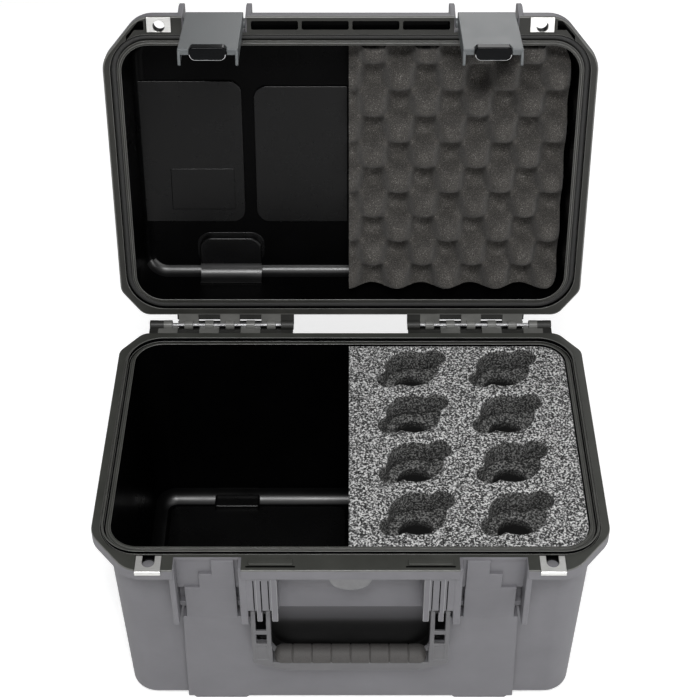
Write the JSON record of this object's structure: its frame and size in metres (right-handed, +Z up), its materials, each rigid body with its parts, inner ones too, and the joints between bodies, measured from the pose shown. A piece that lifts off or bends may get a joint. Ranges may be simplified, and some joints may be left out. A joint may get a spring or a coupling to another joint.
{
  "type": "microphone case",
  "caption": "Open waterproof utility case with foam seats for microphones, egg-crate foam in its lid, over-centre latches and a drop handle.",
  "frame": {"origin": "on the floor plane under the feet, midway along the case and midway between the front and back edges of its rim", "axes": "+Z up, -Y towards the front with the latches and handle, +X to the right as seen from the front; the lid is open at rest"},
  "size_m": [0.454, 0.4282, 0.5456],
  "materials": {
    "moulding": "fine moulded texture",
    "latch_plastic": "smooth satin moulding",
    "gloss_black": "polished",
    "stainless": "brushed sheet",
    "pin_steel": "drawn rod and wire",
    "grip_rubber": "soft matte",
    "seal_rubber": "soft matte",
    "crate_foam": "open-cell foam, cut in waves",
    "block_foam": "open-cell foam with light and dark cells",
    "badge_finish": "satin, left bare"
  },
  "bodies": {
    "base": {"base_shell": "moulding", "mic_foam_upper": "block_foam", "mic_foam_lower": "block_foam", "padlock_plate_base_left": "stainless", "padlock_plate_base_right": "stainless", "hinge_pin_left": "pin_steel", "hinge_pin_right": "pin_steel", "handle_pin_left": "pin_steel", "handle_pin_right": "pin_steel", "badge_blank": "badge_finish"},
    "lid": {"lid_shell": "moulding", "lid_gasket": "seal_rubber", "egg_crate_foam": "crate_foam", "padlock_plate_lid_left": "stainless", "padlock_plate_lid_right": "stainless", "latch_pin_left": "pin_steel", "latch_pin_right": "pin_steel"},
    "latch_left": {"latch_left": "latch_plastic", "trigger_pin_left": "pin_steel", "trigger_spring_left": "pin_steel"},
    "latch_right": {"latch_right": "latch_plastic", "trigger_pin_right": "pin_steel", "trigger_spring_right": "pin_steel"},
    "trigger_left": {"trigger_left": "gloss_black"},
    "trigger_right": {"trigger_right": "gloss_black"},
    "handle": {"handle_frame": "latch_plastic", "handle_grip": "grip_rubber"}
  },
  "joints": [
    {"name": "lid_hinge", "type": "hinge", "parent": "base", "child": "lid", "pos_m": [0, 0.1646, 0.2198], "axis": [1, 0, 0], "range_deg": [0, 101.65]},
    {"name": "latch_left_pivot", "type": "hinge", "parent": "lid", "child": "latch_left", "pos_m": [-0.1229, 0.23427, 0.52155], "axis": [-1, 0, 0], "range_deg": [-2.5, 95]},
    {"name": "latch_right_pivot", "type": "hinge", "parent": "lid", "child": "latch_right", "pos_m": [0.1229, 0.23427, 0.52155], "axis": [-1, 0, 0], "range_deg": [-2.5, 95]},
    {"name": "trigger_left_pivot", "type": "hinge", "parent": "latch_left", "child": "trigger_left", "pos_m": [-0.1229, 0.17827, 0.53249], "axis": [1, 0, 0], "range_deg": [0, 6], "stiffness_Nm_per_rad": 0.05, "springref_deg": -5.73},
    {"name": "trigger_right_pivot", "type": "hinge", "parent": "latch_right", "child": "trigger_right", "pos_m": [0.1229, 0.17827, 0.53249], "axis": [1, 0, 0], "range_deg": [0, 6], "stiffness_Nm_per_rad": 0.05, "springref_deg": -5.73},
    {"name": "handle_swing", "type": "hinge", "parent": "base", "child": "handle", "pos_m": [0, -0.144, 0.1535], "axis": [-1, 0, 0], "range_deg": [0, 90]}
  ]
}
